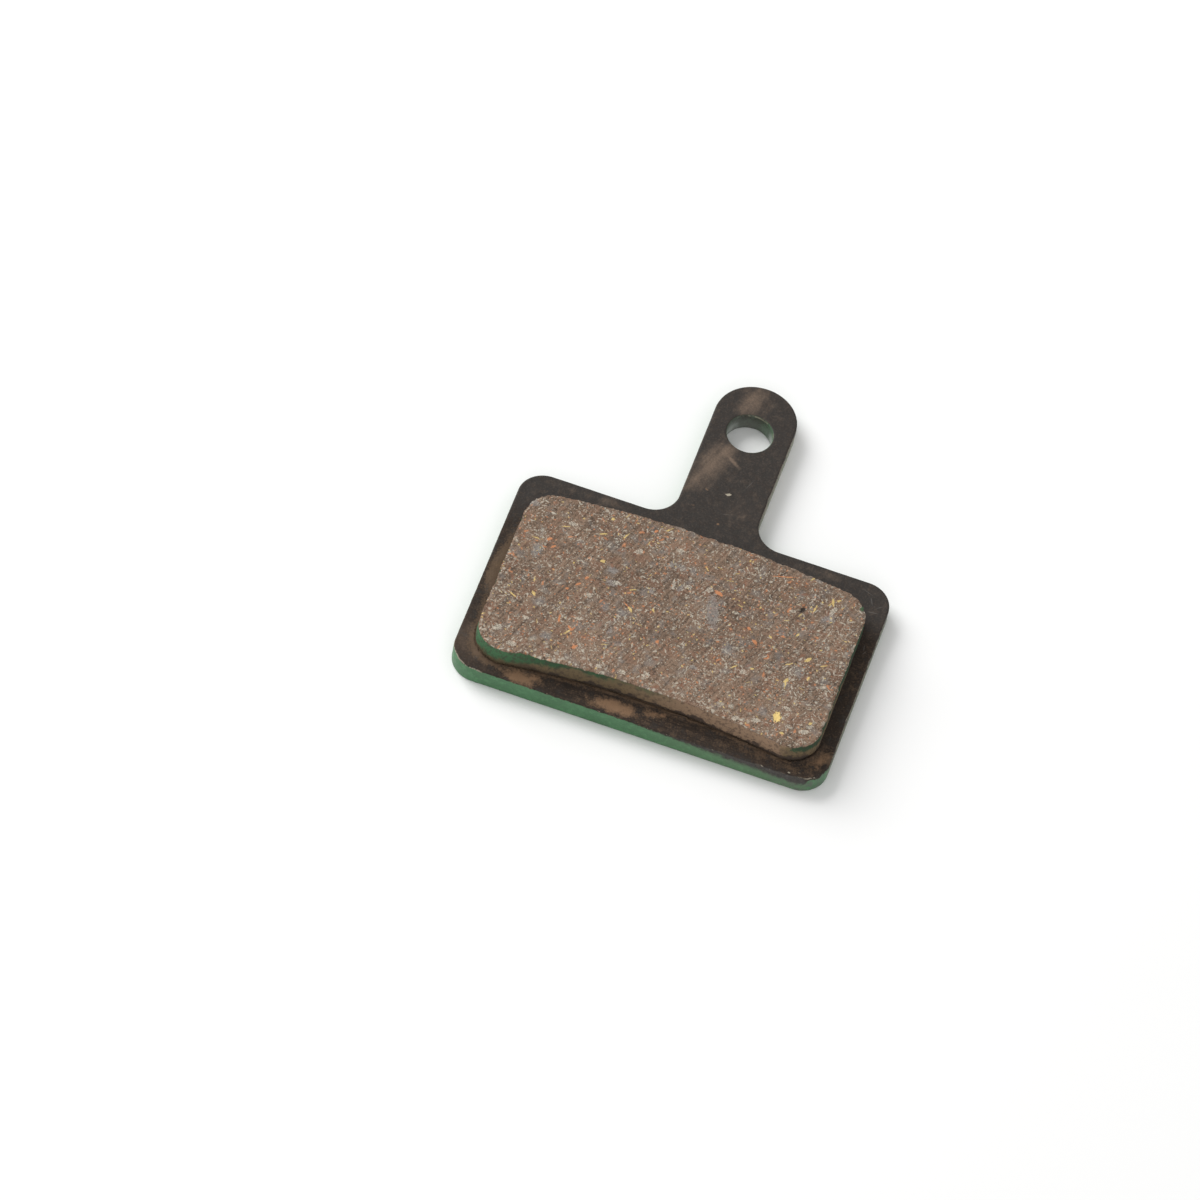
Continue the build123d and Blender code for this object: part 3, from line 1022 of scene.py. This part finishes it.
class BlockOutline:
    """The block's outline grown outwards: two arcs about the rotor's axis, straight sides, round corners."""

    def __init__(self, size, grow):
        self.corner = size.corner_radius + grow
        self.outer = size.rotor_radius + grow
        self.inner = size.rotor_radius - size.ring_width - grow
        self.rotor_y = size.crown - size.rotor_radius
        self.corner_x = size.width / 2 - size.corner_radius
        self.side = self.corner_x + self.corner

    def columns(self, step):
        """Places across the width, closer together round the corners."""
        straight = np.linspace(-self.corner_x, self.corner_x, 2 * round(self.corner_x / step) + 1)
        turn = np.linspace(0.0, math.pi / 2, round(self.corner * math.pi / 2 / step))[1:]
        bend = self.corner_x + self.corner * np.sin(turn)
        return np.concatenate([-bend[::-1], straight, bend])

    def long_side(self, x, radius, outwards):
        """An arc about the rotor's axis with a round corner at each end."""
        corner_radius = radius - outwards * self.corner
        corner_y = self.rotor_y + math.sqrt(corner_radius**2 - self.corner_x**2)
        touch = self.corner_x * radius / corner_radius
        reach = np.abs(x)
        arc = self.rotor_y + np.sqrt(radius**2 - np.minimum(reach, touch) ** 2)
        bend = np.sqrt(np.maximum(self.corner**2 - (reach - self.corner_x) ** 2, 0.0))
        return np.where(reach <= touch, arc, corner_y + outwards * bend)

    def near(self, x):
        return self.long_side(x, self.inner, -1)

    def far(self, x):
        return self.long_side(x, self.outer, 1)

    def rim(self, step):
        """Points along both long sides."""
        columns = self.columns(step)
        sides = [np.stack([columns, side(columns)], axis=-1) for side in (self.near, self.far)]
        return np.concatenate(sides)

    def grid(self, columns, rows):
        """Points over the outline as rows of columns, from the near side to the far side."""
        share = np.linspace(0.0, 1.0, rows)[:, None]
        near, far = self.near(columns), self.far(columns)
        y = near + (far - near) * share
        return np.stack([np.broadcast_to(columns, y.shape), y], axis=-1)

    def depth(self, flat):
        """How far inside the outline each point lies, across it or along it."""
        reach, y = np.abs(flat[:, 0]), flat[:, 1]
        x = np.minimum(reach, self.side)
        return np.minimum.reduce([self.far(x) - y, y - self.near(x), self.side - reach])

    def in_front(self, flat):
        """Whether each point lies nearer than the outline or beside it."""
        reach = np.abs(flat[:, 0])
        return (flat[:, 1] < self.near(np.minimum(reach, self.side))) | (reach > self.side)


def plate_bends(size):
    """Arcs of the plate's outline, anticlockwise: centre, radius, first and last direction in degrees."""
    corner, root, tab = size.corner_radius, size.tab_root_radius, size.tab_width / 2
    side, edge = size.width / 2 - corner, size.height / 2 - corner
    shoulder = size.height / 2 + root
    tip = size.height / 2 + size.tab_length - tab
    return (
        (side, -edge, corner, -90.0, 0.0),
        (side, edge, corner, 0.0, 90.0),
        (tab + root, shoulder, root, 270.0, 180.0),
        (0.0, tip, tab, 0.0, 180.0),
        (-tab - root, shoulder, root, 0.0, -90.0),
        (-side, edge, corner, 90.0, 180.0),
        (-side, -edge, corner, 180.0, 270.0),
    )


def follow(bends, step):
    """Points along the arcs and the lines that join them, and the outward direction at each."""
    points, outward = [], []
    for bend, following in zip(bends, bends[1:] + bends[:1]):
        x, y, radius, start, end = bend
        count = max(3, round(radius * math.radians(abs(end - start)) / step))
        turn = np.radians(np.linspace(start, end, count))
        radial = np.stack([np.cos(turn), np.sin(turn)], axis=-1)
        arc = (x, y) + radius * radial
        away = radial * np.sign(end - start)
        first = math.radians(following[3])
        target = np.array(following[:2]) + following[2] * np.array([math.cos(first), math.sin(first)])
        count = max(1, round(np.linalg.norm(target - arc[-1]) / step))
        line = arc[-1] + (target - arc[-1]) * np.linspace(0.0, 1.0, count + 1)[1:-1, None]
        points += [arc, line]
        outward += [away, np.broadcast_to(away[-1], line.shape)]
    return np.concatenate(points), np.concatenate(outward)


def plate_depth(size, flat):
    """How deep each point lies inside the plate's outline."""
    corner, tab = size.corner_radius, size.tab_width / 2
    reach = np.abs(flat) - (size.width / 2 - corner, size.height / 2 - corner)
    body = corner - np.linalg.norm(np.maximum(reach, 0.0), axis=1) - np.minimum(reach.max(axis=1), 0.0)
    beyond = np.maximum(flat[:, 1] - (size.height / 2 + size.tab_length - tab), 0.0)
    return np.maximum(body, np.where(flat[:, 1] > 0.0, tab - np.hypot(flat[:, 0], beyond), -tab))


def edge_wear(points):
    """How far the plate's edge stands back from its outline at each point."""
    worn = relief(points, EDGE_WAVES, 1.0)
    high = fade(points[:, 2], plate_high.z - DENT_FADE[0], plate_high.z - DENT_FADE[1])
    for x, y, depth, length in EDGE_DENTS:
        away = np.hypot(points[:, 0] - x * MM, points[:, 1] - y * MM)
        worn += depth * MM * bell(away, length * MM) * high
    return worn


def quarter_round(radius, count):
    """Inset and drop of points along a quarter round, from the wall to the flat."""
    turns = np.linspace(0.0, math.pi / 2, count)
    return [(radius * (1.0 - math.cos(turn)), radius * (1.0 - math.sin(turn))) for turn in turns]


def edge_section(size):
    """Inset and height of the rings round the plate's outline, from the back to the friction side."""
    thick, broken = plate_high.z, size.edge_break
    section = [(broken, 0.0), (0.3 * broken, 0.3 * broken)]
    section += [(0.0, height) for height in np.linspace(broken, thick - size.die_roll, 10)[:-1]]
    return section + [(inset, thick - drop) for inset, drop in quarter_round(size.die_roll, 7)]


def pin_section(size):
    """Inset and height of the rings in the pin hole, from the back to the friction side."""
    thick, roll = plate_high.z, size.pin_hole_roll
    rounding = quarter_round(roll, 4)
    section = rounding[::-1] + [(0.0, height) for height in np.linspace(roll, thick - roll, 6)[1:-1]]
    return section + [(inset, thick - drop) for inset, drop in rounding]


def film_points(size, block, holes):
    """Points over the friction side, far apart where the block hides them."""
    low = (-size.width / 2, -size.height / 2)
    high = (size.width / 2, size.height / 2 + size.tab_length)
    clear = 0.7 * size.mesh_step
    foot = BlockOutline(block, 0.0)
    kept = []
    for spacing, hidden in ((size.mesh_step, False), (HIDDEN_STEP * size.mesh_step, True)):
        flat = strewn_points(low, high, spacing)
        under = foot.depth(flat) > HIDDEN_DEPTH
        keep = (plate_depth(size, flat) > size.die_roll + clear) & (under == hidden)
        for x, y, radius in holes:
            keep &= np.hypot(flat[:, 0] - x, flat[:, 1] - y) > radius + clear
        kept.append(flat[keep])
    return np.concatenate(kept)


def film_height(size, block, points):
    """Height of the film at each point: lumps, coarser along the near edge, and dirt piled at the foot."""
    flat, nearwards = points[:, :2], -points[:, 1]
    inside = fade(plate_depth(size, flat), size.die_roll, size.die_roll + 0.35 * MM)
    off_tab = 0.35 + 0.65 * fade(nearwards, -10.5 * MM, -8.5 * MM)
    near_edge = 1.0 + 1.2 * fade(nearwards, 7.3 * MM, 8.0 * MM)
    lumps = (relief(points, FILM_LUMPS) - FILM_SINK) * off_tab * inside * near_edge
    lumpy = at_height(flat, points[:, 2] + lumps)
    foot = BlockOutline(block, (block_high.z - plate_high.z) * math.tan(block.draft))
    away = nearest(at_height(flat, 0.0), at_height(foot.rim(size.mesh_step), 0.0))[1]
    piled = relief(lumpy, PILED_DIRT, 1.0) * bell(away, 0.30 * MM) * foot.in_front(flat)
    return lumpy[:, 2] + piled * fade(nearwards, -6.0 * MM, 6.0 * MM) * inside


def plate_mesh(size, block):
    """The backing plate: worn edge with its die roll, pin hole, keying holes and the lumpy film on top."""
    shell = Shell()
    outline, outward = follow(plate_bends(size), EDGE_STEP)
    edge = []
    for inset, height in edge_section(size):
        placed = at_height(outline - outward * inset, height)
        edge.append(shell.add(placed[:, :2] - outward * edge_wear(placed)[:, None], height))
    pin_y, pin_radius = size.height / 2 + size.pin_hole_height, size.pin_hole_diameter / 2
    walls = [edge, [
        shell.add(circle(0.0, pin_y, pin_radius + inset, PIN_POINTS)[::-1], height)
        for inset, height in pin_section(size)
    ]]
    for x, y, radius in key_places(block):
        ring = circle(x, y, radius, KEY_POINTS)[::-1]
        walls.append([shell.add(ring, height) for height in (0.0, plate_high.z)])
    for rings in walls:
        shell.loft(rings)

    holes = [(0.0, pin_y, pin_radius + size.pin_hole_roll), *key_places(block)]
    film = shell.add(film_points(size, block, holes), plate_high.z)
    shell.points[film, 2] = film_height(size, block, shell.points[film])
    shell.sheet([rings[-1] for rings in walls], film, holes, True)
    shell.sheet([rings[0] for rings in walls], NO_POINTS, holes, False)
    return shell.mesh("worn_plate")


def face_relief(points):
    """Height of the ground face at each point: grinding lines, grains and pits, none above its plane."""
    grinding = math.radians(GRINDING_TURN)
    along = points[:, 0] * math.cos(grinding) + points[:, 1] * math.sin(grinding)
    across = points[:, 1] * math.cos(grinding) - points[:, 0] * math.sin(grinding)
    drawn = np.stack([along / GRINDING_STRETCH, across, points[:, 2]], axis=-1)
    height = relief(drawn, GRINDING_LINES) + relief(points, FACE_GRAINS) - FACE_SINK
    for x, y, length, width, turn, depth in FACE_PITS:
        lean = math.radians(turn)
        dx, dy = points[:, 0] / MM - x, points[:, 1] / MM - y
        longways = (dx * math.cos(lean) + dy * math.sin(lean)) / length
        sideways = (dy * math.cos(lean) - dx * math.sin(lean)) / width
        height -= depth * MM * bell(np.hypot(longways, sideways), 1.0)
    return height


class BlockRim:
    """Rim of the friction face: its points, the outward direction at each and how far each has crumbled."""

    def __init__(self, points):
        self.points = points
        tangent = np.roll(points, -1, axis=0) - np.roll(points, 1, axis=0)
        self.outward = np.stack([tangent[:, 1], -tangent[:, 0]], axis=-1)
        self.outward /= np.linalg.norm(self.outward, axis=1)[:, None]
        self.crumbled = 0.20 * MM * np.maximum(waves(points, 1.1 * MM, 5), 0.0) ** 1.5
        self.crumbled += 0.12 * MM * np.abs(waves(points, 0.36 * MM, 6))


def grid_rim(index):
    """Outer points of a grid of indices, anticlockwise from its near left corner."""
    return np.concatenate([index[0], index[1:, -1], index[-1, -2::-1], index[-2:0:-1, 0]])


def add_face(shell, size):
    """Adds the flat friction face and returns its points as a grid of indices."""
    outline = BlockOutline(size, 0.0)
    columns = outline.columns(size.mesh_step)
    rows = round(size.ring_width / size.mesh_step)
    face = shell.add(outline.grid(columns, rows).reshape(-1, 2), block_high.z)
    index = face.reshape(rows, len(columns))
    quads = np.stack([index[:-1, :-1], index[:-1, 1:], index[1:, 1:], index[1:, :-1]], axis=-1)
    shell.faces += quads.reshape(-1, 4).tolist()
    return index


def worn_face(points, rim):
    """Points of the used face: ground, and drawn in and rounded where the rim has crumbled."""
    at_rim, distance = nearest(points, rim.points)
    crumbled = rim.crumbled[at_rim]
    drawn_in = crumbled * fade(-distance, -FACE_CRUMBLING, 0.0)
    flat = points[:, :2] - rim.outward[at_rim] * drawn_in[:, None]
    placed = at_height(flat, points[:, 2])
    rounded = (0.035 * MM + 0.5 * crumbled) * bell(distance, 0.1 * MM)
    return at_height(flat, points[:, 2] + face_relief(placed) - rounded)


def add_wall(shell, size, rim_index, rim, foot_z):
    """Adds the drafted wall under the rim, rough and grooved along its foot; returns its lowest ring."""
    groove = relief(rim.points, FOOT_GROOVE, 1.2)
    rings = [rim_index]
    for level in np.linspace(block_high.z, foot_z, WALL_RINGS)[1:]:
        below = block_high.z - level
        outline = rim.points[:, :2] + rim.outward * below * math.tan(size.draft)
        stands_back = rim.crumbled * fade(-below, -WALL_CRUMBLING, 0.0)
        stands_back += relief(at_height(outline, level), WALL_ROUGHNESS, 1.0) * fade(below, 0.0, 0.2 * MM)
        stands_back += groove * fade(foot_z - level, -0.22 * MM, -0.10 * MM)
        rings.append(shell.add(outline - rim.outward * stands_back[:, None], level))
    shell.loft(rings[::-1])
    return rings[-1]


def block_mesh(size):
    """The friction block: ground face, crumbled rim, moulded wall and the two keys under it."""
    shell = Shell()
    foot_z = plate_high.z - FOOT_SINK
    face = add_face(shell, size)
    rim_index = grid_rim(face)
    rim = BlockRim(shell.points[rim_index])
    shell.points[face.ravel()] = worn_face(shell.points[face.ravel()], rim)
    foot_loops = [add_wall(shell, size, rim_index, rim, foot_z)]
    for x, y, radius in key_places(size):
        ring = circle(x, y, radius, KEY_POINTS)
        key_end, key_root = [shell.add(ring, height) for height in (block_low.z, foot_z)]
        shell.loft([key_end, key_root])
        shell.faces.append(key_end[::-1].tolist())
        foot_loops.append(key_root)
    shell.sheet(foot_loops, NO_POINTS, key_places(size), False)
    return shell.mesh("moulded_block")


def place_piece(context, mesh, material, node):
    """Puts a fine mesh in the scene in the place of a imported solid."""
    if not mesh.polygons:
        raise RuntimeError(f"{mesh.name} has no faces")
    piece = bpy.data.objects.new(mesh.name, mesh)
    context.scene.collection.objects.link(piece)
    mesh.materials.append(material)
    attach(piece, BODY)
    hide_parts(node)


class BRAKEPAD_OT_backing_plate(bpy.types.Operator):
    """Build the worn backing plate with its paint, film and dust"""

    bl_idname = "brake_pad.backing_plate"
    bl_label = "Backing Plate"

    def execute(self, context):
        settings = context.scene.brake_pad
        mesh = plate_mesh(settings.plate, settings.block)
        material = PlateFinish(settings.plate, settings.block).build()
        place_piece(context, mesh, material, PLATE_NODE)
        return {"FINISHED"}


class BRAKEPAD_OT_friction_block(bpy.types.Operator):
    """Build the friction block with its ground face and compound"""

    bl_idname = "brake_pad.friction_block"
    bl_label = "Friction Block"

    def execute(self, context):
        settings = context.scene.brake_pad
        mesh = block_mesh(settings.block)
        material = CompoundFinish(settings.block, settings.plate.paint).build()
        place_piece(context, mesh, material, BLOCK_NODE)
        return {"FINISHED"}


def add_floor(scene, colour):
    """Adds the pale floor, barely uneven in tone."""
    mesh = bpy.data.meshes.new("studio_floor")
    signs = ((-1, -1), (1, -1), (1, 1), (-1, 1))
    mesh.from_pydata([(x * FLOOR_REACH, y * FLOOR_REACH, 0.0) for x, y in signs], [], [(0, 1, 2, 3)])
    floor = bpy.data.objects.new("studio_floor", mesh)
    scene.collection.objects.link(floor)
    finish = Finish("floor_paper")
    paper = finish.shaded(colour, finish.noise(0.02), 0.3, 0.7, 1.0, 1.01)
    finish.feed(finish.shader.inputs["Base Color"], paper)
    finish.shader.inputs["Roughness"].default_value = 0.9
    mesh.materials.append(finish.material)


def add_sky(scene, strength):
    """Adds an even white light from all round."""
    scene.world = bpy.data.worlds.new("studio_sky")
    scene.world.use_nodes = True
    background = scene.world.node_tree.nodes["Background"]
    background.inputs["Color"].default_value = (1.0, 1.0, 1.0, 1.0)
    background.inputs["Strength"].default_value = strength


def add_light(scene, name, place, size, power):
    """Adds a square soft light that faces the origin."""
    data = bpy.data.lights.new(name, "AREA")
    data.shape = "SQUARE"
    data.size = size
    data.energy = power
    light = bpy.data.objects.new(name, data)
    light.location = place
    light.rotation_euler = (-Vector(place)).to_track_quat("-Z", "Y").to_euler()
    scene.collection.objects.link(light)


def add_camera(scene, settings):
    """Adds the camera of the photo, with everything sharp."""
    data = bpy.data.cameras.new("photo_camera")
    data.lens = settings.lens
    data.sensor_width = SENSOR_WIDTH
    data.clip_start, data.clip_end = CLIP_RANGE
    camera = bpy.data.objects.new("photo_camera", data)
    level, rise = math.cos(settings.elevation), math.sin(settings.elevation)
    back = Vector((math.sin(settings.azimuth) * level, -math.cos(settings.azimuth) * level, rise))
    facing = (-back).to_track_quat("-Z", "Y").to_matrix().to_4x4()
    place = Matrix.Translation(Vector(settings.aim) + back * settings.distance)
    camera.matrix_world = place @ facing @ Matrix.Rotation(settings.roll, 4, "Z")
    scene.collection.objects.link(camera)
    scene.camera = camera


class BRAKEPAD_OT_stage(bpy.types.Operator):
    """Set up the pale floor, the soft light and the camera"""

    bl_idname = "brake_pad.stage"
    bl_label = "Stage"

    def execute(self, context):
        scene = context.scene
        settings = scene.brake_pad.stage
        add_floor(scene, settings.floor)
        add_sky(scene, settings.sky)
        for name, place, size, power in LIGHTS:
            add_light(scene, name, place, size, getattr(settings, power))
        add_camera(scene, settings)
        scene.view_settings.view_transform = "Standard"
        return {"FINISHED"}


class BRAKEPAD_PT_sidebar(bpy.types.Panel):
    """Operators and settings of the brake pad"""

    bl_label = "Brake Pad"
    bl_idname = "BRAKEPAD_PT_sidebar"
    bl_space_type = "VIEW_3D"
    bl_region_type = "UI"
    bl_category = "Brake Pad"

    def draw(self, context):
        settings = context.scene.brake_pad
        groups = (
            (settings.plate, BRAKEPAD_OT_backing_plate),
            (settings.block, BRAKEPAD_OT_friction_block),
            (settings.stage, BRAKEPAD_OT_stage),
        )
        for group, operator in groups:
            box = self.layout.box()
            box.operator(operator.bl_idname)
            for name in group.bl_rna.properties.keys():
                if name not in {"rna_type", "name"}:
                    box.prop(group, name)


CLASSES = (
    PlateSettings,
    BlockSettings,
    StageSettings,
    BrakePadSettings,
    BRAKEPAD_OT_backing_plate,
    BRAKEPAD_OT_friction_block,
    BRAKEPAD_OT_stage,
    BRAKEPAD_PT_sidebar,
)


def register():
    for cls in CLASSES:
        bpy.utils.register_class(cls)
    bpy.types.Scene.brake_pad = PointerProperty(
        name="Brake pad", description="All settings of the brake pad", type=BrakePadSettings
    )


def unregister():
    del bpy.types.Scene.brake_pad
    for cls in reversed(CLASSES):
        bpy.utils.unregister_class(cls)


def main():
    register()
    bpy.ops.brake_pad.backing_plate()
    bpy.ops.brake_pad.friction_block()
    bpy.ops.brake_pad.stage()


if __name__ == "__main__":
    main()
